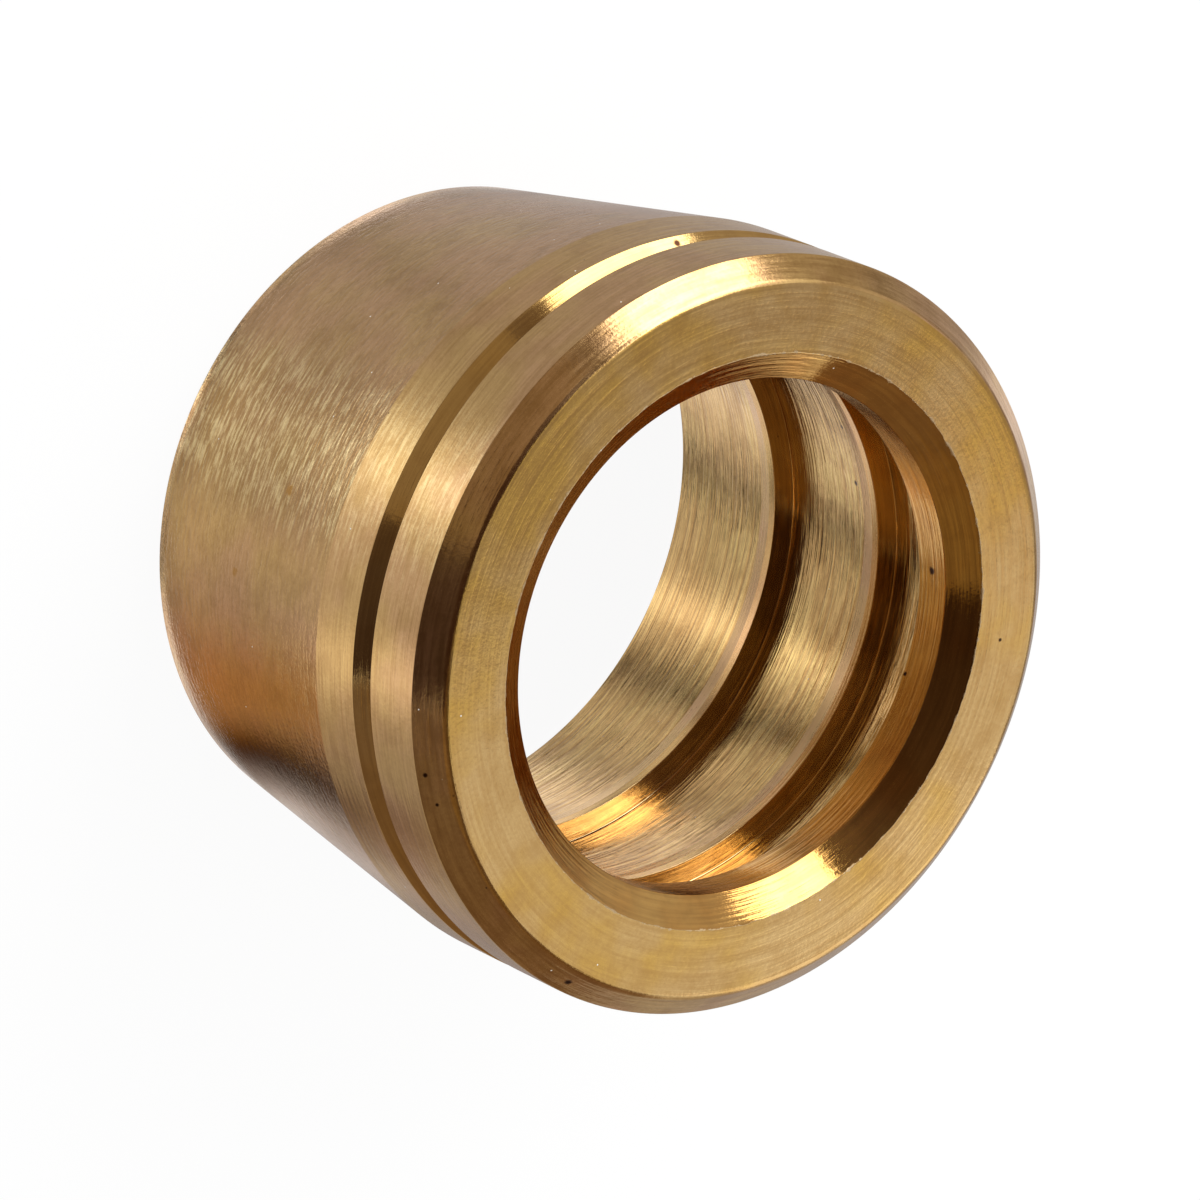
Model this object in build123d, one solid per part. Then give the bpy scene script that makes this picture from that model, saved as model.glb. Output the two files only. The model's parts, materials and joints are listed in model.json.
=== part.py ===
"""Compression olive for a 15 mm pipe, turned from one piece of brass.

The olive stands on its narrow nose, with the axis of the bore along +Z and the
origin on that axis, in the plane that the nose rests on. The flat face with the
countersunk mouth is at the top. Depths are measured down from that face.
"""
from build123d import *
from math import radians, tan
import os

# Bore: the pipe comes in at the nose, passes the grip teeth and butts on the stop
pipe_d = 15.0
pipe_clearance = 0.1
stop_step = 0.8
stop_land = 1.1
mouth_flare = 0.78
mouth_angle = 55.0

# Grip teeth: a steep face towards the mouth, a narrow crest, a bevel and a long relief
tooth_count = 2
tooth_depth = 4.4
tooth_pitch = 4.45
tooth_crest = 0.25
tooth_lean = 7.0
bevel_length = 0.5
bevel_rise = 0.13
relief_angle = 7.0

# Outside: two round lands with a V groove between them, then a taper to the nose
length = 13.9
land_wall = 2.4
taper_depth = 4.8
nose_wall = 0.47
face_chamfer = 0.62
groove_depth = 2.4
groove_width = 0.78
groove_angle = 90.0

# Edges
face_radius = 0.15
nose_chamfer = 0.1
gullet_radius = 0.15

socket_r = pipe_d / 2 + pipe_clearance
stop_r = socket_r - stop_step
mouth_r = stop_r + mouth_flare
outer_r = socket_r + land_wall
mouth_depth = mouth_flare / tan(radians(mouth_angle))
stop_depth = mouth_depth + stop_land
relief_slope = tan(radians(relief_angle))
lean_slope = tan(radians(tooth_lean))
relief_r = socket_r + bevel_rise
groove_cut = groove_width / 2 / tan(radians(groove_angle / 2))


def at(radius, depth, fillet=0.0):
    """One corner of the section: its place in the X-Z plane, and its rounding."""
    return (radius, length - depth), fillet


def tooth_front(number):
    """Depth of the sharp front edge of a tooth, counted from 0 below the stop."""
    return tooth_depth + number * tooth_pitch


def relief_start(number):
    """Depth at which the relief behind a tooth begins."""
    return tooth_front(number) + tooth_crest + bevel_length


def relief_radius(number, depth):
    """Radius of the relief behind a tooth: a cone that opens towards the nose."""
    return relief_r + (depth - relief_start(number)) * relief_slope


def gullet_depth(number):
    """Depth where a tooth's leaning face meets the relief that runs up to it."""
    front = tooth_front(number)
    run_up = relief_start(number - 1)
    return (front + lean_slope * (run_up * relief_slope - bevel_rise)) / (1 + lean_slope * relief_slope)


def outside():
    """Corners from the face down to the nose, whose taper ends in a small chamfer."""
    nose_r = relief_radius(tooth_count - 1, length) + nose_wall
    taper_slope = (outer_r - nose_r) / (length - taper_depth)
    return [
        at(outer_r - face_chamfer, 0, face_radius),
        at(outer_r, face_chamfer),
        at(outer_r, groove_depth),
        at(outer_r - groove_cut, groove_depth + groove_width / 2),
        at(outer_r, groove_depth + groove_width),
        at(outer_r, taper_depth),
        at(nose_r + nose_chamfer * taper_slope, length - nose_chamfer),
        at(nose_r - nose_chamfer, length),
    ]


def inside():
    """Corners from the nose up through the teeth to the mouth."""
    lead_in = length - nose_chamfer
    corners = [
        at(relief_radius(tooth_count - 1, length) + nose_chamfer, length),
        at(relief_radius(tooth_count - 1, lead_in), lead_in),
    ]
    for number in reversed(range(tooth_count)):
        front = tooth_front(number)
        gullet = gullet_depth(number)
        corners += [
            at(relief_r, relief_start(number)),
            at(socket_r, front + tooth_crest),
            at(socket_r, front),
            at(relief_radius(number - 1, gullet), gullet, gullet_radius),
        ]
    return corners + [
        at(relief_radius(-1, stop_depth), stop_depth),
        at(stop_r, stop_depth),
        at(stop_r, mouth_depth),
        at(mouth_r, 0),
    ]


def olive():
    """The section carried once round the bore."""
    corners = outside() + inside()
    with BuildPart() as turned:
        with BuildSketch(Plane.XZ):
            with BuildLine():
                FilletPolyline(
                    [place for place, fillet in corners],
                    radius=[fillet for place, fillet in corners],
                    close=True,
                )
            make_face()
        revolve(axis=Axis.Z)
    return turned.part


os.makedirs("parts", exist_ok=True)
part = olive()
part.label = "olive"
export_step(part, "parts/olive.step")

box = part.bounding_box()
print("size", [round(value, 3) for value in box.size])
print("outer diameter", round(2 * outer_r, 3), "stop bore", round(2 * stop_r, 3))
print("tooth depths", [round(tooth_front(number), 3) for number in range(tooth_count)])
print("volume", round(part.volume, 2), "mm3, solids", len(part.solids()))
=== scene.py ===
# %% [markdown]
# # A turned brass compression olive
#
# An olive is the ring that a nut squeezes onto a pipe. This one is turned on a lathe from one
# piece of brass. Its long taper goes into the fitting, its chamfered head sits in the nut, and
# two rings of sharp teeth inside it bite into the pipe.
#
# The whole object is one surface of revolution, so the lesson is about finish: how one metal
# can look brushed, satin and mirror-bright on surfaces that meet at a sharp edge.

# %% The frame
import json
from math import cos, pi, radians, sin, tan

import bpy
import numpy as np
from mathutils import Matrix, Vector


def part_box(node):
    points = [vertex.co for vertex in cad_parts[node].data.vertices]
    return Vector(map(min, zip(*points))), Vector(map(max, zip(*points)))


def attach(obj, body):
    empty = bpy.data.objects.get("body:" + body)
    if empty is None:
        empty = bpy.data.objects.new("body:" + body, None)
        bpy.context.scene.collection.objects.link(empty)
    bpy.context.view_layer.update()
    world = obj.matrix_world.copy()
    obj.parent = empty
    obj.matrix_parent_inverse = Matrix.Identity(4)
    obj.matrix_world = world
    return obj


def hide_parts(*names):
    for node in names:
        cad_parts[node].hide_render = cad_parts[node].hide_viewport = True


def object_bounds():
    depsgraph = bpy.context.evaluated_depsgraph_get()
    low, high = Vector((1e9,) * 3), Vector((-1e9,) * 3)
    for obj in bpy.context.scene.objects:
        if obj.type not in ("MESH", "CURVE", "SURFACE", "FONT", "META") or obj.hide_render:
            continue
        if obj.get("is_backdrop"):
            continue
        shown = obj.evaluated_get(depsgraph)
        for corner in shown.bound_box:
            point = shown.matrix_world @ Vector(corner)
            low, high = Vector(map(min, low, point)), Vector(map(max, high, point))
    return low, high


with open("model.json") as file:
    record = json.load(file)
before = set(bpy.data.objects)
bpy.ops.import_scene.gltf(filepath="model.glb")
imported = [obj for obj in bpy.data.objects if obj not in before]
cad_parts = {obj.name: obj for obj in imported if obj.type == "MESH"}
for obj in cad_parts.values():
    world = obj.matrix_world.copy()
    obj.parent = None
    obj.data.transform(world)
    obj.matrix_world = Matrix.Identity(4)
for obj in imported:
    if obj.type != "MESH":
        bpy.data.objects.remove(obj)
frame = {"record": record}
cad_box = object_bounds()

mm = 0.001
micron = 0.001 * mm
print("CAD box", cad_box)

# %% [markdown]
# ## The camera
#
# The olive stands on its narrow nose and the camera looks down into the mouth. A long lens from
# a short way off keeps the near and far rims almost the same size. The camera is rolled, so the
# bore's axis leans across the picture. We build its axes from an elevation and a roll, which is
# easier to check than three Euler angles.

# %% Camera
camera_elevation = radians(49.80)
camera_roll = radians(113.53)
camera_distance = 221.06 * mm
camera_aim = Vector((0.492, 0.775, 6.95)) * mm
camera_lens = 255.0
sensor_width = 36.0
near_clip = 10 * mm


def camera_axes(elevation, roll):
    """Right, up and backward of a camera on the -Y side: level axes, then turned by the roll."""
    backward = Vector((0.0, -cos(elevation), sin(elevation)))
    level_right = Vector((1.0, 0.0, 0.0))
    level_up = backward.cross(level_right)
    right = cos(roll) * level_right + sin(roll) * level_up
    return right, backward.cross(right), backward


right, up, backward = camera_axes(camera_elevation, camera_roll)
camera_data = bpy.data.cameras.new("camera")
camera_data.lens = camera_lens
camera_data.sensor_width = sensor_width
camera_data.clip_start = near_clip
camera = bpy.data.objects.new("camera", camera_data)
camera.matrix_world = Matrix.LocRotScale(
    camera_aim + camera_distance * backward, Matrix((right, up, backward)).transposed(), None
)
bpy.context.collection.objects.link(camera)
bpy.context.scene.camera = camera
print("camera at", [round(value / mm, 1) for value in camera.location], "mm")

# %% [markdown]
# ## Sizes
#
# The frame already holds the sizes that matter: the radius of the head, the pipe socket and the
# stop come from the mounts, and the height from the box. The rest are the small cuts between
# them, in millimetres below the flat face.

# %% Sizes
mounts = {mount["name"]: mount["dims"] for mount in frame["record"]["mounts"]}
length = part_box("olive")[1][2] / mm
outer_r = mounts["head_land"]["r_mm"]
socket_r = mounts["pipe_socket"]["r_mm"]
stop_r = mounts["stop_bore"]["r_mm"]
stop_land = mounts["stop_bore"]["length_mm"]
tooth_count = 2
tooth_depth = 4.4
tooth_pitch = 4.45
tooth_crest = 0.25
tooth_lean = radians(7)
bevel_length = 0.5
bevel_rise = 0.13
relief_angle = radians(7)
relief_slope = tan(relief_angle)
mouth_flare = 0.78
mouth_angle = radians(55)
mouth_depth = mouth_flare / tan(mouth_angle)
stop_depth = mouth_depth + stop_land
face_chamfer = 0.62
groove_depth = 2.4
groove_width = 0.78
taper_depth = 4.8
nose_wall = 0.47
nose_chamfer = 0.1
print("outer radius", outer_r, "socket", socket_r, "stop", stop_r, "length", round(length, 3))

# %% [markdown]
# ## The section
#
# A turned part is drawn as half of its section and spun. The section is a chain of straight
# cuts. No real edge is perfectly sharp, and the glint along an edge is what the eye reads as
# metal, so every corner gets its own small radius. Each straight cut is also named, because the
# name later picks its finish.

# %% Corners of the section
face_edge, land_edge, groove_floor, shoulder = 0.3, 0.04, 0.05, 0.6
blunt_edge, keen_edge, tooth_edge = 0.03, 0.02, 0.015


def tooth_front(number):
    """Depth of the sharp front edge of a tooth, counted from 0 below the stop."""
    return tooth_depth + number * tooth_pitch


def relief_start(number):
    """Depth where a tooth's bevel ends and the relief behind it begins."""
    return tooth_front(number) + tooth_crest + bevel_length


def relief_radius(number, depth):
    """The relief behind a tooth is a cone: it starts above the bevel and opens at a fixed slope."""
    return socket_r + bevel_rise + (depth - relief_start(number)) * relief_slope


def gullet_depth(number):
    """Where the leaning front of a tooth meets the relief before it: two lines, solved for it."""
    lean = tan(tooth_lean)
    rise = relief_radius(number - 1, 0) - socket_r
    return (tooth_front(number) - lean * rise) / (1 + lean * relief_slope)


def corners():
    """Rows of name, radius, depth and rounding. The name is that of the cut after the corner."""
    lead_in = length - nose_chamfer
    nose_in = relief_radius(tooth_count - 1, length)
    nose_out = nose_in + nose_wall
    taper = (outer_r - nose_out) / (length - taper_depth)
    groove_half = groove_width / 2
    rows = [
        ("chamfer", outer_r - face_chamfer, 0.0, face_edge),
        ("land", outer_r, face_chamfer, land_edge),
        ("groove", outer_r, groove_depth, blunt_edge),
        ("groove", outer_r - groove_half, groove_depth + groove_half, groove_floor),
        ("land", outer_r, groove_depth + groove_width, blunt_edge),
        ("taper", outer_r, taper_depth, shoulder),
        ("nose", nose_out + nose_chamfer * taper, lead_in, blunt_edge),
        ("nose", nose_out - nose_chamfer, length, blunt_edge),
        ("nose", nose_in + nose_chamfer, length, blunt_edge),
        ("relief", relief_radius(tooth_count - 1, lead_in), lead_in, blunt_edge),
    ]
    for number in reversed(range(tooth_count)):
        start, gullet = relief_start(number), gullet_depth(number)
        rows += [
            ("bevel", relief_radius(number, start), start, keen_edge),
            ("crest", socket_r, tooth_front(number) + tooth_crest, keen_edge),
            ("tooth", socket_r, tooth_front(number), tooth_edge),
            ("relief", relief_radius(number - 1, gullet), gullet, blunt_edge),
        ]
    return rows + [
        ("step", relief_radius(-1, stop_depth), stop_depth, blunt_edge),
        ("stop", stop_r, stop_depth, keen_edge),
        ("mouth", stop_r, mouth_depth, blunt_edge),
        ("face", stop_r + mouth_flare, 0.0, blunt_edge),
    ]


rows = corners()
cut_names = [row[0] for row in rows]
print(len(rows), "corners:", ", ".join(cut_names))

# %% [markdown]
# To round a corner, we step back from it along both sides by the radius times the tangent of
# half the turn, and join the two places with an arc. The straight part between two arcs is cut
# into steps. The first and last steps are very short: they keep the shading of the arc from
# bleeding into the flat, which a modeller knows as a supporting edge.

# %% The rounded section
straight_step = 0.2
support_step = 0.015
arc_steps = 4


def rounded_section(rows):
    """Points of the closed section, and for each one the number of the cut that runs on from it."""
    places = np.array([(row[1], length - row[2]) for row in rows])
    ahead = np.roll(places, -1, axis=0) - places
    reach = np.linalg.norm(ahead, axis=1)
    ahead /= reach[:, None]
    behind = np.roll(ahead, 1, axis=0)
    cross = behind[:, 0] * ahead[:, 1] - behind[:, 1] * ahead[:, 0]
    turn = np.arctan2(cross, (behind * ahead).sum(axis=1))
    radius = np.array([row[3] for row in rows])
    back_off = radius * np.tan(np.abs(turn) / 2)
    points, cuts = [], []
    for i in range(len(rows)):
        start = places[i] - behind[i] * back_off[i]
        side = np.array((-behind[i][1], behind[i][0])) * np.sign(turn[i])
        angles = np.linspace(0, abs(turn[i]), arc_steps + 1)
        bow = np.sin(angles)[:, None] * behind[i] + (1 - np.cos(angles))[:, None] * side
        arc = start + radius[i] * bow
        following = (i + 1) % len(rows)
        run = reach[i] - back_off[i] - back_off[following]
        count = max(int(np.ceil((run - 2 * support_step) / straight_step)), 1)
        steps = np.linspace(support_step, run - support_step, count + 1)
        points += [arc, arc[-1] + steps[:, None] * ahead[i]]
        # The first half of the arc still belongs to the cut before the corner.
        arc_cuts = np.full(arc_steps + 1, i)
        arc_cuts[: arc_steps // 2] = (i - 1) % len(rows)
        cuts += [arc_cuts, np.full(count + 1, i)]
    return np.concatenate(points), np.concatenate(cuts)


section, cut_at = rounded_section(rows)
gap = np.linalg.norm(np.roll(section, -1, axis=0) - section, axis=1)
travel = np.concatenate(((0.0,), np.cumsum(gap)))
outline_mm = travel[-1]
print(len(section), "points round the section,", round(outline_mm, 2), "mm of outline")

# %% [markdown]
# ## The turned surface
#
# The section is one parameter and the angle round the bore is the other, so the surface is a
# plain grid: x is the radius times the cosine of the angle, y the radius times its sine, and z
# the height. Tools leave small faults that follow this grid, such as a burr on the rim of the
# mouth, so they are added here as a shift of the radius and height. The faults are sums of
# waves that fit a whole number of times round the ring, which keeps the seam closed.

# %% Faults of turning
around = 300
dice = np.random.default_rng(15)
angle = np.arange(around) * 2 * pi / around
burr_height, burr_width, burr_waves = 0.022, 0.06, (20, 110)
wear_height, wear_width, wear_waves = 0.012, 0.12, (3, 40)


def ripple(low_waves, high_waves):
    """A smooth random ring: waves of whole counts with random phase, scaled to about -1..1."""
    counts = np.arange(low_waves, high_waves)
    phase = dice.uniform(0, 2 * pi, len(counts))
    weight = dice.normal(0, 1, len(counts))
    total = (weight * np.sin(np.outer(angle, counts) + phase)).sum(axis=1)
    return total / np.abs(total).max()


def place_of(corner):
    """Millimetres along the outline to a corner, where its cut takes over from the one before."""
    taken_over = (cut_at == corner) & (np.roll(cut_at, 1) == (corner - 1) % len(rows))
    return travel[np.flatnonzero(taken_over)[0]]


def bump_at(corner, width):
    """A bell over the outline, centred on a corner's place on it, with a width in millimetres."""
    off = (travel[:-1] - place_of(corner) + outline_mm / 2) % outline_mm - outline_mm / 2
    return np.exp(-((off / width) ** 2))


head_rim = 0
mouth_rim = cut_names.index("face")
burr = burr_height * np.outer(bump_at(mouth_rim, burr_width), ripple(*burr_waves))
rim_wear = wear_height * np.outer(bump_at(head_rim, wear_width), ripple(*wear_waves))
print("burr up to", round(np.abs(burr).max(), 3), "mm")

# %% Grid to mesh
burr_lift = 0.5
radius_grid = section[:, :1] + burr + rim_wear
height_grid = np.minimum(section[:, 1:] + 0 * radius_grid + burr_lift * burr, length)
grid = np.stack((radius_grid * np.cos(angle), radius_grid * np.sin(angle), height_grid), axis=-1)


def closed_grid(name, grid, v):
    """A mesh from a grid that closes both ways: each quad joins a point to its next ones.

    The UV map holds the share of a turn as u, and as v the given place along the outline.
    """
    index = np.arange(grid.shape[0] * grid.shape[1]).reshape(grid.shape[:2])
    nexts = np.roll(index, -1, axis=0)
    square = (index, nexts, np.roll(nexts, -1, axis=1), np.roll(index, -1, axis=1))
    quads = np.stack(square, axis=-1).reshape(-1, 4)
    mesh = bpy.data.meshes.new(name)
    mesh.vertices.add(index.size)
    mesh.vertices.foreach_set("co", grid.ravel())
    mesh.loops.add(quads.size)
    mesh.loops.foreach_set("vertex_index", quads.ravel())
    mesh.polygons.add(len(quads))
    mesh.polygons.foreach_set("loop_start", np.arange(len(quads)) * 4)
    mesh.update(calc_edges=True)
    mesh.validate()
    mesh.shade_smooth()
    u = np.arange(grid.shape[1] + 1) / grid.shape[1]
    here_u, here_v = np.meshgrid(u[:-1], v[:-1])
    next_u, next_v = np.meshgrid(u[1:], v[1:])
    corner_u = np.stack((here_u, here_u, next_u, next_u), axis=-1)
    corner_v = np.stack((here_v, next_v, next_v, here_v), axis=-1)
    uv = np.stack((corner_u, corner_v), axis=-1).astype(np.float32)
    mesh.uv_layers.new(name="outline").data.foreach_set("uv", uv.ravel())
    return mesh


mesh = closed_grid("olive_brass", grid * mm, travel / outline_mm)
olive = bpy.data.objects.new("olive_brass", mesh)
bpy.context.collection.objects.link(olive)
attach(olive, "root")
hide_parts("olive")
print(len(mesh.polygons) * 2, "triangles")

# %% [markdown]
# ## Shader helpers
#
# A finish is a small network of nodes. A few helpers keep the cells short. The first ones add a
# node, fill or link its inputs, and hand back the socket that the next node needs.


# %% Node helpers
def feed(tree, socket, value):
    """Link a socket to another one, or set its value."""
    if isinstance(value, bpy.types.NodeSocket):
        tree.links.new(value, socket)
    else:
        socket.default_value = value


def add(tree, kind, settings=(), **inputs):
    """A shader node: settings are its properties, and each input is a value or another socket."""
    node = tree.nodes.new("ShaderNode" + kind)
    for key, value in dict(settings).items():
        setattr(node, key, value)
    for key, value in inputs.items():
        feed(tree, node.inputs[key.replace("_", " ")], value)
    return node


def calc(tree, operation, *values, clamp=False):
    """One Math node on up to three values or sockets, kept within 0 and 1 if it is clamped."""
    node = add(tree, "Math", {"operation": operation, "use_clamp": clamp})
    for socket, value in zip(node.inputs, values):
        feed(tree, socket, value)
    return node.outputs[0]


def vector(tree, operation, *values, **named):
    """One Vector Math node. Distance and dot product give a number, the others a vector."""
    node = add(tree, "VectorMath", {"operation": operation}, **named)
    for socket, value in zip(node.inputs, values):
        feed(tree, socket, value)
    return node.outputs["Value" if operation in ("DISTANCE", "DOT_PRODUCT") else "Vector"]


def blend(tree, factor, first, second, kind="RGBA"):
    """A colour, or a number if kind is FLOAT: all first at factor 0 and all second at 1."""
    node = add(tree, "Mix", {"data_type": kind})
    low, result = {"RGBA": (6, 2), "FLOAT": (2, 0)}[kind]
    for number, value in ((0, factor), (low, first), (low + 1, second)):
        feed(tree, node.inputs[number], value)
    return node.outputs[result]


def ramp(tree, value, start, stop, bottom=0.0, top=1.0, soft=False):
    """From bottom at start to top at stop, straight or with soft ends, and level past them."""
    limits = {"From_Min": start, "From_Max": stop, "To_Min": bottom, "To_Max": top}
    kind = {"interpolation_type": "SMOOTHSTEP" if soft else "LINEAR"}
    return add(tree, "MapRange", kind, Value=value, **limits).outputs[0]


def noise(tree, place, scale, detail, roughness=0.6):
    """Smooth random values from 0 to 1 over space."""
    return add(
        tree, "TexNoise", Vector=place, Scale=scale, Detail=detail, Roughness=roughness
    ).outputs[0]


# %% [markdown]
# An effect that several finishes share becomes a node group: built once, with named inputs, and
# placed in each material with its own values. The groups below read one of three things: the
# place in millimetres, the direction out from the axis, or the way gone along the outline.


# %% Group helpers
def new_group(name, inputs, outputs):
    """An empty node group with float inputs and float outputs: itself, its values, its results."""
    group = bpy.data.node_groups.new(name, "ShaderNodeTree")
    for label, value in inputs.items():
        socket = group.interface.new_socket(label, in_out="INPUT", socket_type="NodeSocketFloat")
        socket.default_value = value
    for label in outputs:
        group.interface.new_socket(label, in_out="OUTPUT", socket_type="NodeSocketFloat")
    start, end = group.nodes.new("NodeGroupInput"), group.nodes.new("NodeGroupOutput")
    return group, start.outputs, end.inputs


def use_group(tree, group, **inputs):
    """The outputs of a group placed in a tree with its own values."""
    node = tree.nodes.new("ShaderNodeGroup")
    node.node_tree = group
    for key, value in inputs.items():
        feed(tree, node.inputs[key.replace("_", " ")], value)
    return node.outputs


def object_place(group):
    """Object coordinates, which stay with the olive however it is turned."""
    return add(group, "TexCoord").outputs["Object"]


def millimetres(group):
    """Object coordinates, which are metres here, turned into millimetres."""
    return vector(group, "SCALE", object_place(group), Scale=1 / mm)


def outward(group):
    """The unit vector from the axis to the point: the angle round the bore, without a seam."""
    return vector(group, "NORMALIZE", vector(group, "MULTIPLY", object_place(group), (1, 1, 0)))


def along_outline(group):
    """Millimetres along the outline: v of the UV map times its length."""
    uv = add(group, "UVMap", {"uv_map": "outline"}).outputs[0]
    return calc(group, "MULTIPLY", add(group, "SeparateXYZ", Vector=uv).outputs["Y"], outline_mm)


# %% [markdown]
# ## Tool marks
#
# Every mark on a turned surface runs round the bore. So the noise that makes them is stretched:
# it changes slowly with the angle and quickly along the outline. The angle enters as a point on
# a circle, which has no seam. A little even grain is added, because the metal itself is not
# perfectly smooth. One group serves the brushed taper, the turned face and the streaky bore.

# %% Tool marks group
grain_scale, grain_detail = 9.0, 2.0


def make_tool_marks():
    """Noise at the angle's point on a circle of radius Round, raised by Across per millimetre.

    Grain is the share of even noise in the height that comes out.
    """
    inputs = {"Round": 1.0, "Across": 10.0, "Detail": 2.0, "Grain": 0.2}
    group, values, results = new_group("tool marks", inputs, ["Height"])
    wheel = vector(group, "SCALE", outward(group), Scale=values["Round"])
    down = calc(group, "MULTIPLY", along_outline(group), values["Across"])
    place = vector(group, "ADD", wheel, add(group, "CombineXYZ", Z=down).outputs[0])
    lines = noise(group, place, 1.0, values["Detail"])
    grain = noise(group, millimetres(group), grain_scale, grain_detail)
    feed(group, results["Height"], blend(group, values["Grain"], lines, grain, kind="FLOAT"))
    return group


tool_marks = make_tool_marks()
print("tool marks:", len(tool_marks.nodes), "nodes")

# %% [markdown]
# ## Tarnish and specks
#
# Brass does not stay one colour. Handling and air leave soft patches that are browner or greener
# than the metal. Dust settles as pale dots, and a few dots are dark dirt. Both groups read the
# place in millimetres, so the patches pass over the edges as real ones do. The cells of a
# Voronoi texture scatter the dots, and each cell's random colour decides which are dark.

# %% Tarnish and specks groups
tarnish_detail = 3.0
dot_edge = 3.0
dot_spacing, dot_size, dark_share = 0.9, 0.026, 0.15


def make_tarnish():
    """Soft noise whose patches are about Size millimetres wide, cut between Low and High."""
    inputs = {"Size": 4.0, "Low": 0.4, "High": 0.65}
    group, values, results = new_group("tarnish", inputs, ["Mask"])
    scale = calc(group, "DIVIDE", 1.0, values["Size"])
    level = noise(group, millimetres(group), scale, tarnish_detail)
    feed(group, results["Mask"], ramp(group, level, values["Low"], values["High"], soft=True))
    return group


def make_specks():
    """Round dots: 1 near the centres of cells, 0 past Size millimetres. A Share of them is dark."""
    inputs = {"Spacing": dot_spacing, "Size": dot_size, "Share": dark_share}
    group, values, results = new_group("specks", inputs, ["Dark", "Dust"])
    scale = calc(group, "DIVIDE", 1.0, values["Spacing"])
    cells = add(group, "TexVoronoi", Vector=millimetres(group), Scale=scale).outputs
    reach = calc(group, "MULTIPLY", cells["Distance"], values["Spacing"])
    inside = calc(group, "SUBTRACT", 1.0, calc(group, "DIVIDE", reach, values["Size"]))
    dot = calc(group, "MULTIPLY", inside, dot_edge, clamp=True)
    chance = add(group, "SeparateXYZ", Vector=cells["Color"]).outputs["X"]
    dark = calc(group, "MULTIPLY", dot, calc(group, "LESS_THAN", chance, values["Share"]))
    feed(group, results["Dark"], dark)
    feed(group, results["Dust"], calc(group, "SUBTRACT", dot, dark))
    return group


tarnish, specks = make_tarnish(), make_specks()
print("dots every", dot_spacing, "mm,", dot_size, "mm in radius")

# %% [markdown]
# ## Dirt, stains and a torn rim
#
# A few specks and stains are large enough to have a place of their own, so those are given one
# by one, as small balls that colour the surface where they cut it. Their rims are made uneven
# with noise. The rim of the mouth is torn: the tool left a thin pale line there that widens and
# fades. A torn line of real geometry would need a very fine mesh, so the mesh holds the burr
# itself and this mask its ragged edge.

# %% Placed marks
spot_scale, spot_detail, spot_roughness = 7.0, 3.0, 0.5
spot_outside, spot_inside = 1.4, 0.5
dirt_places = [
    (-3.62, 5.75, 12.79, 0.11),
    (-0.91, 6.74, 12.34, 0.06),
    (-6.19, 4.68, 8.52, 0.06),
    (-5.01, 5.93, 8.50, 0.07),
    (-8.54, -4.91, 10.87, 0.10),
    (6.20, -7.64, 13.44, 0.06),
    (6.77, -6.99, 13.54, 0.05),
    (9.67, -0.74, 13.57, 0.10),
    (-2.70, 7.89, 13.90, 0.05),
    (6.4, -6.9, 13.9, 0.05),
]
stain_places = [
    (-4.35, 6.82, 1.32, 0.30),
    (-2.43, 7.65, 1.86, 0.28),
    (3.66, 7.08, 2.31, 0.25),
    (3.56, -8.63, 4.41, 0.12),
    (1.07, -9.54, 6.30, 0.16),
]


def make_placed(name, places, raggedness):
    """A mask that is 1 inside small balls with uneven rims: centres and radii in millimetres."""
    group, _, results = new_group(name, {}, ["Mask"])
    here = millimetres(group)
    uneven = noise(group, here, spot_scale, spot_detail, spot_roughness)
    mask = 0.0
    for x, y, z, radius in places:
        away = vector(group, "DISTANCE", here, (x, y, z))
        smallest, spread = (1 - raggedness) * radius, 2 * raggedness * radius
        size = calc(group, "MULTIPLY_ADD", uneven, spread, smallest)
        share = calc(group, "DIVIDE", away, size)
        spot = ramp(group, share, spot_outside, spot_inside, soft=True)
        mask = calc(group, "MAXIMUM", mask, spot)
    feed(group, results["Mask"], mask)
    return group


dirt = make_placed("dirt", dirt_places, raggedness=0.5)
stains = make_placed("stains", stain_places, raggedness=0.9)
print(len(dirt_places), "placed specks,", len(stain_places), "stains")

# %% Torn rim
torn_scale, torn_detail, torn_roughness = 2.6, 5.0, 0.75
torn_low, torn_high = 0.50, 0.72
torn_least, torn_most, torn_edge = 0.004, 0.09, 1.4


def make_ragged_rim(centre):
    """A line along the outline at centre, which is wider where the noise round it is high."""
    group, _, results = new_group("ragged rim", {}, ["Mask"])
    off = calc(group, "ABSOLUTE", calc(group, "SUBTRACT", along_outline(group), centre))
    level = noise(group, millimetres(group), torn_scale, torn_detail, torn_roughness)
    reach = ramp(group, level, torn_low, torn_high, torn_least, torn_most)
    share = calc(group, "DIVIDE", off, reach)
    feed(group, results["Mask"], calc(group, "SUBTRACT", torn_edge, share, clamp=True))
    return group


ragged_rim = make_ragged_rim(place_of(mouth_rim))
print("torn rim", round(place_of(mouth_rim), 2), "mm along the outline")

# %% [markdown]
# ## Glints of the brush
#
# On the real olive a band of short bright dashes runs down the taper. They are single marks
# that happen to face a light. Bump could make them only with marks finer than a render
# resolves, so they are painted highlights: the same tool marks, cut harder, near one azimuth,
# with painted shade making the metal between the dashes a little darker.

# %% Glints group
glint_azimuth, glint_half_width = -1.1, 9.5
glint_marks = {"Round": 12.0, "Across": 9.0, "Detail": 4.0, "Grain": 0.15}
glint_low, glint_high = 0.44, 0.66
glint_outer, glint_inner = 1.8, 0.3


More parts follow.
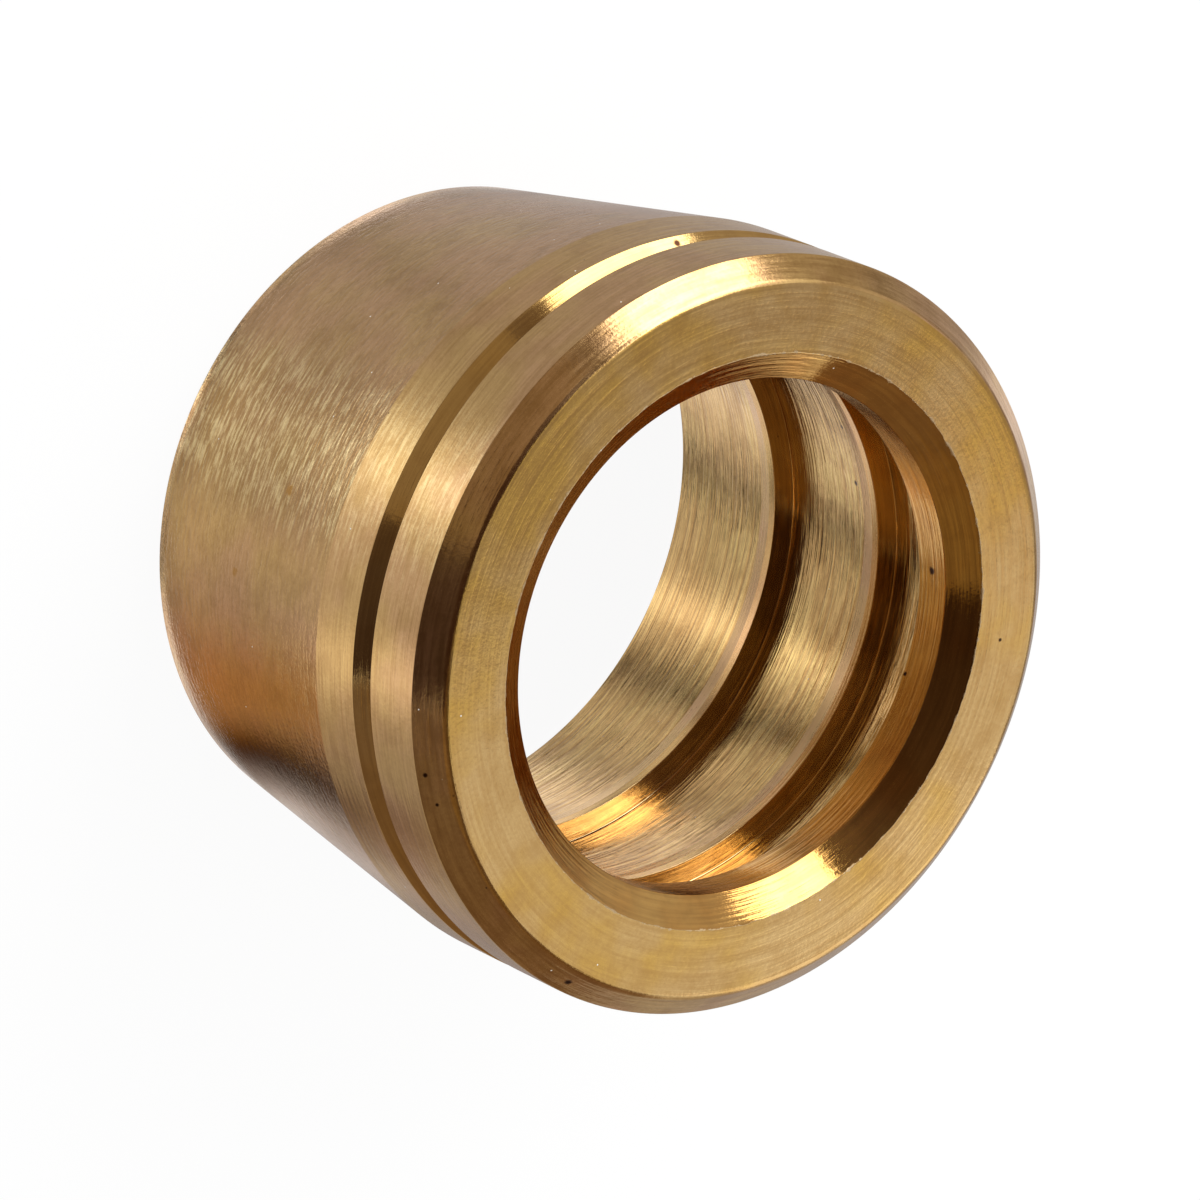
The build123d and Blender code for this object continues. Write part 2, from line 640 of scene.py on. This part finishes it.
def make_glints(centre, half_width):
    """Zone falls from 1 to 0 about half_width degrees from the azimuth. Dash is its painted
    highlight.
    """
    group, _, results = new_group("glints", {}, ["Zone", "Dash"])
    towards = (sin(radians(centre)), -cos(radians(centre)), 0)
    facing = vector(group, "DOT_PRODUCT", outward(group), towards)
    outer = cos(radians(glint_outer * half_width))
    inner = cos(radians(glint_inner * half_width))
    zone = ramp(group, facing, outer, inner, soft=True)
    marks = use_group(group, tool_marks, **glint_marks)["Height"]
    dash = ramp(group, marks, glint_low, glint_high, soft=True)
    feed(group, results["Zone"], zone)
    feed(group, results["Dash"], calc(group, "MULTIPLY", zone, dash))
    return group


glints = make_glints(glint_azimuth, glint_half_width)
print("glints within", glint_half_width, "degrees of azimuth", glint_azimuth)

# %% [markdown]
# ## One metal, several finishes
#
# All of these are the same brass. What differs is how rough the tool left it, how tall its
# marks are and their tint; the tooth's paler tint is painted light that brightens its highlight.
# Long marks scatter light across themselves and not along themselves, so the metal is
# anisotropic: the tangent runs round the bore, and a quarter turn lays the stretched gloss across
# the marks. The heights are given in thousandths of a millimetre, as a workshop measures them.

# %% Colours of the brass
gold = (0.70, 0.46, 0.18, 1.0)
rosy = (0.70, 0.43, 0.21, 1.0)
olive_tint = (0.65, 0.46, 0.17, 1.0)
orange_tint = (0.71, 0.44, 0.14, 1.0)
deep_orange = (0.66, 0.34, 0.09, 1.0)
straw = (0.60, 0.40, 0.17, 1.0)
amber_tint = (0.60, 0.365, 0.085, 1.0)
# Pale is used only for the tooth, as painted light that brightens its highlight.
pale = (0.80, 0.58, 0.30, 1.0)
burr_colour = (0.60, 0.44, 0.25, 1.0)
dust_colour = (0.75, 0.70, 0.62, 1.0)
speck_colour = (0.05, 0.02, 0.01, 1.0)
stain_colour = (0.52, 0.27, 0.06, 1.0)
glint_colour = (0.98, 0.78, 0.40, 1.0)
# Brown of wear in the low marks, also used as painted shade between the painted glints.
worn_colour = (0.40, 0.22, 0.07, 1.0)


# %% Finishes
def finish(main, patch, roughness, stretch, height, across, changes, grain, wear, glint=0.0):
    """A finish by name: its main and patch colours, its roughness and how far it is stretched.

    Its marks have a height in microns, a number per millimetre across and of changes round the
    bore, and a share of grain. Wear and glint say how strongly marks and painted dashes show.
    """
    return locals()


finishes = {
    "taper": finish(rosy, gold, 0.16, 0.4, 32, 7, 15, 0.35, 0.5, glint=0.8),
    "land": finish(gold, rosy, 0.20, 0.5, 16, 9, 5, 0.25, 0.5, glint=0.35),
    "nose": finish(rosy, gold, 0.34, 0.3, 6, 9, 3, 0.3, 0.4),
    "chamfer": finish(gold, rosy, 0.17, 0.3, 11, 8, 5, 0.25, 0.6),
    "groove": finish(gold, orange_tint, 0.10, 0.3, 7, 12, 3, 0.15, 0.4),
    "face": finish(straw, amber_tint, 0.20, 0.4, 16, 8, 2.6, 0.3, 0.6),
    "mouth": finish(orange_tint, deep_orange, 0.10, 0.4, 13, 9, 2.5, 0.12, 0.5),
    "stop": finish(orange_tint, deep_orange, 0.14, 0.4, 18, 11, 2, 0.1, 0.5),
    "step": finish(orange_tint, deep_orange, 0.20, 0.2, 4, 12, 2, 0.1, 0.2),
    # The tooth's pale colour is painted light: it brightens the tooth's highlight.
    "tooth": finish(pale, gold, 0.09, 0.3, 4, 12, 2, 0.1, 0.4),
    "crest": finish(gold, rosy, 0.26, 0.3, 14, 10, 2, 0.15, 0.3),
    "bevel": finish(gold, rosy, 0.28, 0.3, 16, 10, 2, 0.15, 0.35),
    "relief": finish(gold, olive_tint, 0.12, 0.5, 27, 8, 2.4, 0.08, 0.8),
}
print(len(finishes), "finishes of one brass")

# %% [markdown]
# The base colour is built up in layers, as the years do it: two tints of metal in patches, brown
# in the low marks, then dashes, stains and dust. A mask that touches only a few surfaces is left
# out of the others, which saves render time.

# %% Layers of colour
patch_size, mottle_size = 3.5, 0.9
mottle_low, mottle_high, mottle_share = 0.45, 0.7, 0.6
worn_high, worn_low = 0.62, 0.36
# Share of painted shade on the metal between the glint dashes.
dull_share = 0.8


def tarnished(tree, look, marks):
    """Two tints in patches, browned in the low marks and in mottled places."""
    patches = use_group(tree, tarnish, Size=patch_size)["Mask"]
    tint = blend(tree, patches, look["main"], look["patch"])
    tint = blend(tree, ramp(tree, marks, worn_high, worn_low, 0.0, look["wear"]), tint, worn_colour)
    mottle = use_group(tree, tarnish, Size=mottle_size, Low=mottle_low, High=mottle_high)["Mask"]
    share = calc(tree, "MULTIPLY", mottle, look["wear"] * mottle_share)
    return blend(tree, share, tint, worn_colour)


def dashed(tree, tint, strength):
    """Painted highlights as bright dashes in the zone of the glints, with painted shade between
    them.
    """
    dashes = use_group(tree, glints)
    between = calc(tree, "SUBTRACT", dashes["Zone"], dashes["Dash"])
    dull = blend(tree, calc(tree, "MULTIPLY", between, dull_share * strength), tint, worn_colour)
    return blend(tree, calc(tree, "MULTIPLY", dashes["Dash"], strength), dull, glint_colour)


# %% Brass materials
stained = ("taper",)
dirty = ("relief", "stop", "mouth", "face", "chamfer", "groove")
torn = ("face", "mouth")
quarter_turn = 0.25
marks_detail = 3.0
gloss_low, gloss_high = 0.3, 0.7
smoothest, roughest, torn_roughest = 0.8, 1.25, 0.5


def make_brass(name, look):
    """Brass whose colour, gloss and relief all follow the same tool marks."""
    material = bpy.data.materials.new("brass_" + name)
    material.use_nodes = True
    tree = material.node_tree
    shader = tree.nodes["Principled BSDF"].inputs
    shader["Anisotropic"].default_value = look["stretch"]
    shader["Anisotropic Rotation"].default_value = quarter_turn
    tangent = add(tree, "Tangent", {"direction_type": "RADIAL", "axis": "Z"})
    values = {"Round": look["changes"], "Across": look["across"], "Grain": look["grain"]}
    marks = use_group(tree, tool_marks, Detail=marks_detail, **values)["Height"]
    tint = tarnished(tree, look, marks)
    smooth, rough = look["roughness"] * smoothest, look["roughness"] * roughest
    gloss = ramp(tree, marks, gloss_low, gloss_high, smooth, rough)
    if look["glint"]:
        tint = dashed(tree, tint, look["glint"])
    if name in stained:
        tint = blend(tree, use_group(tree, stains)["Mask"], tint, stain_colour)
    if name in torn:
        ragged = use_group(tree, ragged_rim)["Mask"]
        tint = blend(tree, ragged, tint, burr_colour)
        gloss = calc(tree, "MAXIMUM", gloss, calc(tree, "MULTIPLY", ragged, torn_roughest))
    dots = use_group(tree, specks)
    dark = dots["Dark"]
    if name in dirty:
        dark = calc(tree, "MAXIMUM", dark, use_group(tree, dirt)["Mask"])
    tint = blend(tree, dots["Dust"], blend(tree, dark, tint, speck_colour), dust_colour)
    relief = add(tree, "Bump", Strength=1.0, Distance=look["height"] * micron, Height=marks)
    feed(tree, shader["Tangent"], tangent.outputs[0])
    feed(tree, shader["Base Color"], tint)
    feed(tree, shader["Metallic"], calc(tree, "SUBTRACT", 1.0, dots["Dust"]))
    feed(tree, shader["Roughness"], gloss)
    feed(tree, shader["Normal"], relief.outputs[0])
    return material


slot_names = list(finishes)
for name, look in finishes.items():
    mesh.materials.append(make_brass(name, look))
slot_of_cut = np.array([slot_names.index(name) for name in cut_names])
slots = np.repeat(slot_of_cut[cut_at], around).astype(np.int32)
mesh.polygons.foreach_set("material_index", slots)
print("faces of each finish:", dict(zip(slot_names, np.bincount(slots).tolist())))

# %% [markdown]
# ## Floor and background
#
# The floor is pale and plain. To the camera it is mostly a white that does not depend on the
# lamps; the rest is an ordinary matt floor, which keeps the soft shadow under the olive. The
# world does the same for what lies past the floor, and metal sees that white too. The floor
# itself is kept out of reflections, because the sheets below stand in for it there.

# %% Floor
floor_size = 4.0
floor_glow = 0.93
floor_colour = (0.9, 0.9, 0.9, 1.0)
white = (1.0, 1.0, 1.0, 1.0)


def seen_directly(tree):
    """1 for camera, glossy and transmission rays, which should see the background as white."""
    path = add(tree, "LightPath").outputs
    either = calc(tree, "MAXIMUM", path["Is Camera Ray"], path["Is Glossy Ray"])
    return calc(tree, "MAXIMUM", either, path["Is Transmission Ray"])


def bare_material(name):
    """A material without a shader: itself, its tree and the socket that a shader goes into."""
    material = bpy.data.materials.new(name)
    material.use_nodes = True
    tree = material.node_tree
    tree.nodes.remove(tree.nodes["Principled BSDF"])
    return material, tree, tree.nodes["Material Output"].inputs["Surface"]


def make_floor():
    """A square of matt white that also glows a little to the rays that look at it."""
    half = floor_size / 2
    square = [(-half, -half, 0), (half, -half, 0), (half, half, 0), (-half, half, 0)]
    sheet = bpy.data.meshes.new("floor")
    sheet.from_pydata(square, [], [(0, 1, 2, 3)])
    material, tree, surface = bare_material("floor_white")
    matt = add(tree, "BsdfDiffuse", Color=floor_colour)
    glow = add(tree, "Emission", Color=white, Strength=1.0)
    mixed = add(tree, "MixShader", Fac=calc(tree, "MULTIPLY", seen_directly(tree), floor_glow))
    tree.links.new(matt.outputs[0], mixed.inputs[1])
    tree.links.new(glow.outputs[0], mixed.inputs[2])
    tree.links.new(mixed.outputs[0], surface)
    sheet.materials.append(material)
    floor = bpy.data.objects.new("floor", sheet)
    floor.visible_glossy = False
    bpy.context.collection.objects.link(floor)
    floor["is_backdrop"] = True


make_floor()
print("floor", floor_size, "m square")


# %% World
def make_world(soft_level):
    """White to direct looks, and a soft even light of the given level to matt surfaces."""
    world = bpy.data.worlds.new("studio")
    world.use_nodes = True
    background = world.node_tree.nodes["Background"].inputs
    background["Color"].default_value = white
    level = ramp(world.node_tree, seen_directly(world.node_tree), 0.0, 1.0, soft_level, 1.0)
    feed(world.node_tree, background["Strength"], level)
    bpy.context.scene.world = world


make_world(soft_level=0.9)
print("world made")

# %% [markdown]
# ## Cards for the metal
#
# Polished metal shows nothing of its own: it shows the room. A photographer shapes it with
# cards, dark ones for the deep bands and grey ones for the middle tones. Ours are patches of a
# sphere round the olive, seen only in reflections, and a closer one hides what is behind it.
# Azimuth 0 is the camera's side. Each card carries its light as a colour at every point, so one
# glowing material serves them all. It is left out of the list of lamps that the renderer aims
# at, because mirrors find such large cards by themselves.

# %% Lit sheets
card_radius = 0.26
darkest = 0.008


def direction(azimuth, elevation):
    """Unit vectors for angles in degrees: azimuth from -Y towards +X, elevation from the floor."""
    a, e = np.radians(azimuth), np.radians(elevation)
    return np.stack((np.sin(a) * np.cos(e), -np.cos(a) * np.cos(e), np.sin(e)), axis=-1)


def make_card_light():
    """A material that shines with the colour stored in the attribute called light."""
    material, tree, surface = bare_material("card_light")
    reader = add(tree, "Attribute", {"attribute_name": "light"})
    glow = add(tree, "Emission", Color=reader.outputs["Color"], Strength=1.0)
    tree.links.new(glow.outputs[0], surface)
    material.cycles.emission_sampling = "NONE"
    return material


card_light = make_card_light()


def lit_sheet(name, points, light):
    """A grid of points with a colour of light at each, which only reflections see."""
    index = np.arange(points.shape[0] * points.shape[1]).reshape(points.shape[:2])
    quads = np.stack((index[:-1, :-1], index[1:, :-1], index[1:, 1:], index[:-1, 1:]), axis=-1)
    sheet = bpy.data.meshes.new(name)
    sheet.from_pydata(points.reshape(-1, 3).tolist(), [], quads.reshape(-1, 4).tolist())
    colours = np.ones((index.size, 4), dtype=np.float32)
    colours[:, :3] = np.maximum(np.broadcast_to(light, points.shape), darkest).reshape(-1, 3)
    stored = sheet.attributes.new("light", "FLOAT_COLOR", "POINT")
    stored.data.foreach_set("color", colours.ravel())
    sheet.materials.append(card_light)
    card = bpy.data.objects.new(name, sheet)
    card.visible_camera = False
    card.visible_diffuse = False
    card.visible_transmission = False
    card.visible_shadow = False
    bpy.context.collection.objects.link(card)
    card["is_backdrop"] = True
    print(name, "with", len(sheet.polygons), "faces")


# %% [markdown]
# A card is a patch of sphere between four directions, blended from corner to corner, and so is
# its light. Brass bounces light from wall to wall, so the dark cards are warm, as a dark corner
# of a real workshop is when metal shines into it.

# %% Colours of the cards
deep = (0.042, 0.022, 0.014)
dusk = (0.07, 0.04, 0.026)
ember = (0.11, 0.07, 0.045)
dark_brown = (0.045, 0.028, 0.022)
brown = (0.085, 0.055, 0.042)
umber = (0.21, 0.16, 0.13)
bronze = (0.33, 0.26, 0.18)
grey = (0.20, 0.155, 0.13)
amber = (0.27, 0.18, 0.11)
dark_amber = (0.23, 0.14, 0.075)
rust = (0.20, 0.115, 0.055)
honey = (0.37, 0.26, 0.12)
stone = (0.60, 0.57, 0.57)
slate = (0.52, 0.50, 0.50)
dark_slate = (0.40, 0.39, 0.43)

# %% Cards
card_points = 33


def make_card(name, light, corners, distance=card_radius):
    """A card from one colour or four, and four corners as azimuth and elevation in degrees.

    The corners are low left, low right, high right and high left. A value inside is blended
    along the low side and the high side first, and then from the one to the other.
    """
    across = np.linspace(0, 1, card_points)[:, None]
    upward = across[:, None]

    def spread(values):
        low_left, low_right, high_right, high_left = np.asarray(values, dtype=float)
        low = low_left + (low_right - low_left) * across
        high = high_left + (high_right - high_left) * across
        return low + (high - low) * upward

    angles = spread(corners)
    lights = spread(np.broadcast_to(light, (4, 3)))
    lit_sheet(name, direction(angles[..., 0], angles[..., 1]) * distance, lights)


zenith_light = (ember, deep, deep, dusk)
front_light = (umber, brown, dark_brown, umber)
side_light = (grey, amber, dark_amber, grey)
high_side_light = (honey, rust, deep, deep)
over_light = (stone, stone, slate, dark_slate)
make_card("zenith_card", zenith_light, ((-71.5, 45), (58, 46), (75, 89), (-110, 89)), 0.235)
make_card("front_card", front_light, ((-52, -5), (47, -5), (50, 46), (-66, 46)))
make_card("corner_card", (0.45, 0.40, 0.36), ((-125, 0), (-101, 0), (-97, 22), (-120, 22)), 0.2)
make_card("golden_card", bronze, ((-50, 16), (4, 16), (8, 45), (-50, 45)), 0.25)
make_card("side_card", side_light, ((47, -8), (140, -8), (146, 38), (50, 38)))
make_card("high_side_card", high_side_light, ((50, 38), (146, 38), (152, 89), (75, 89)))
make_card("low_card", (0.34, 0.31, 0.29), ((-185, -12), (-112, -12), (-112, 22), (-185, 22)))
make_card("back_card", (0.60, 0.56, 0.52), ((140, -12), (175, -12), (175, 22), (145, 22)))

# %% [markdown]
# The last four stand close to the olive, in front of the others. They are the wall behind it,
# what hangs over it, and two small lights that make the bright strips deep in the bore.

# %% Close cards
left_back = ((-162, 22), (-115, 22), (-112, 50), (-168, 50))
make_card("left_back_card", (0.60, 0.56, 0.55), left_back, 0.06)
make_card("over_card", over_light, ((-168, 50), (-112, 50), (-98, 89), (-222, 89)), 0.06)
make_card("back_light", (1.7, 1.7, 1.75), ((150, 24), (180, 24), (177, 49), (148, 45)), 0.062)
make_card("glow_card", (1.25, 1.15, 1.05), ((183, 50), (196, 50), (196, 56), (183, 56)), 0.058)

# %% [markdown]
# ## Light from below
#
# The upright walls look down. Outside, they see the floor near the olive, so a flat ring stands
# in for it, grey with a few brighter and darker patches. Inside, the stop sees the shaded middle
# of the hole, lit only by brass, and the lower walls see out through the nose, where soft bands
# of light and dark make the stripes that run down the bore.

# %% Floor card
sheet_height = 0.05 * mm
floor_card_level = (0.50, 0.48, 0.49)
ring_count, turn_count = 260, 181
ring_pitch, ring_depth = 1.9 * mm, 0.12
patch_start_soft, patch_stop_soft = 0.5 * mm, 1.0 * mm
# Each patch: azimuth in degrees, half width, start and stop in millimetres, change of light.
floor_patches = [
    (-4, 4.0, 15.0, 60.0, (1.2, 1.25, 1.3)),
    (-44, 1.2, 8.0, 16.0, (-0.07, -0.075, -0.08)),
    (17, 3.0, 15.0, 60.0, (0.2, 0.2, 0.2)),
    (39, 3.0, 15.5, 60.0, (0.7, 0.68, 0.65)),
    (-1, 2.2, 8.0, 15.0, (0.20, 0.20, 0.16)),
    (22, 2.0, 8.0, 14.0, (0.13, 0.10, 0.03)),
    (54, 3.0, 8.0, 12.0, (-0.01, -0.23, -0.41)),
    (52, 3.2, 12.0, 15.0, (-0.04, -0.16, -0.32)),
    (68, 1.1, 8.0, 9.8, (-0.41, -0.30, -0.22)),
    (72, 1.6, 9.6, 11.8, (-0.41, -0.35, -0.32)),
    (75, 2.6, 11.6, 16.0, (-0.38, -0.375, -0.385)),
    (80, 4.0, 15.5, 24.0, (-0.13, -0.18, -0.22)),
    (86, 1.1, 8.0, 10.5, (0.36, 0.36, 0.36)),
    (97, 1.7, 10.0, 15.0, (0.26, 0.26, 0.26)),
    (120, 7.0, 8.0, 24.0, (-0.11, -0.12, -0.13)),
    (-150, 5.0, 8.0, 60.0, (0.5, 0.5, 0.5)),
]


def bell(values, centre, half_width):
    """A smooth hump: 1 at the centre, e to the minus 1 at the half width."""
    return np.exp(-(((values - centre) / half_width) ** 2))


def rise_at(values, place, softness):
    """A smooth step from 0 to 1 at a place: 1 over 1 plus e to the minus distance over softness."""
    return 1 / (1 + np.exp(-(values - place) / softness))


def make_floor_card(inner, outer, level, patches):
    """A flat ring with faint round waves. Each patch is a strip that runs out along an azimuth."""
    radii = np.geomspace(inner, outer, ring_count)[:, None]
    turns = np.linspace(0, 360, turn_count)
    points = direction(turns, 0.0 * turns) * radii[..., None]
    points[..., 2] = sheet_height
    rings = 1 + ring_depth * np.sin(2 * pi * radii / ring_pitch)
    light = np.array(level) * rings[..., None]
    for azimuth, half_width, start, stop, change in patches:
        off = np.radians(turns - azimuth)
        beside = bell(radii * np.sin(off), 0.0, half_width * mm) * (np.cos(off) > 0)
        along = rise_at(radii, start * mm, patch_start_soft)
        along = along * (1 - rise_at(radii, stop * mm, patch_stop_soft))
        light = light + (beside * along * rings)[..., None] * np.array(change)
    lit_sheet("floor_card", points, light)


make_floor_card(inner=8.9 * mm, outer=240 * mm, level=floor_card_level, patches=floor_patches)

# %% Hole card
hole_radius, hole_edge = 8.2 * mm, 1.8 * mm
hole_rows, hole_columns = 40, 41
middle_half_width = 4.0 * mm
front_start, front_softness = -1.6 * mm, 0.4 * mm


def make_hole_card(radius, edge, middle, side, rise):
    """A disc cut off at y = edge. Its light goes from middle to side with x, and rises with y."""
    y = np.linspace(-radius, edge, hole_rows)[:, None]
    x = np.linspace(-1, 1, hole_columns) * np.sqrt(radius**2 - y**2)
    points = np.stack((x, y + 0 * x, 0 * x + sheet_height), axis=-1)
    share = (1 - bell(x, 0.0, middle_half_width))[..., None]
    forward = rise_at(y, front_start, front_softness)[..., None]
    light = np.array(middle) + (np.array(side) - middle) * share + forward * np.array(rise)
    lit_sheet("hole_card", points, light)


hole_middle, hole_side, hole_rise = (0.26, 0.14, 0.055), (0.48, 0.34, 0.21), (0.10, 0.10, 0.07)
make_hole_card(hole_radius, hole_edge, hole_middle, hole_side, hole_rise)

# %% Under card
under_top, under_bottom = -25.0, -89.5
under_rows, under_columns = 90, 361
under_level = 0.88
under_tint = (1.0, 0.98, 1.0)
stripe_depth, stripe_period = 0.35, 13.0
shade_depth, shade_elevation, shade_softness = 0.35, -65.5, 1.5
# Each band: azimuth and half width in degrees, and the change of light.
under_bands = [
    (2, 11, 1.1),
    (-32, 8, -0.74),
    (64, 9, -0.72),
    (-82, 8, -0.62),
    (-113, 14, 0.5),
    (105, 20, 0.2),
]


def make_under_card(level, bands):
    """The half sphere below the floor: level stripes, upright bands, and a shaded bottom."""
    azimuth = np.linspace(-180, 180, under_columns)
    elevation = np.linspace(under_top, under_bottom, under_rows)[:, None]
    stripes = 1 + stripe_depth * np.sin(2 * pi * elevation / stripe_period)
    light = level * stripes + 0 * azimuth
    for centre, half_width, change in bands:
        light = light + change * bell(azimuth, centre, half_width)
    light = light * (1 - shade_depth * (1 - rise_at(elevation, shade_elevation, shade_softness)))
    points = direction(azimuth + 0 * elevation, elevation + 0 * azimuth) * card_radius
    lit_sheet("under_card", points, light[..., None] * np.array(under_tint))


make_under_card(under_level, under_bands)

# %% [markdown]
# ## The lamp
#
# One large soft lamp is enough. It stands high on the left of the camera, gives the shadow its
# direction, and is the bright bar that shows in the groove, on the chamfer and in the mouth.

# %% Lamp
lamp_azimuth, lamp_elevation = -84.0, 38.0
lamp_distance = 0.25
lamp_width, lamp_height = 0.16, 0.25
lamp_level = 3.6


def make_lamp():
    """A rectangle that faces the olive. Its power is level times pi times its area."""
    lamp = bpy.data.lights.new("soft_lamp", "AREA")
    lamp.shape = "RECTANGLE"
    lamp.size, lamp.size_y = lamp_width, lamp_height
    lamp.energy = lamp_level * pi * lamp_width * lamp_height
    place = Vector(direction(lamp_azimuth, lamp_elevation)) * lamp_distance
    holder = bpy.data.objects.new("soft_lamp", lamp)
    holder.location = place
    holder.rotation_euler = place.to_track_quat("Z", "Y").to_euler()
    holder.visible_camera = False
    bpy.context.collection.objects.link(holder)
    print("lamp of", round(lamp.energy, 3), "W")


make_lamp()
bpy.context.scene.view_settings.view_transform = "Standard"

# %% [markdown]
# ## The visual box
#
# The visual model should stay inside the box of the construction model, so its box is printed
# here, as that of the construction model was printed at the start.

# %% Visual box
new_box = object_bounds()
print("visual box", new_box)
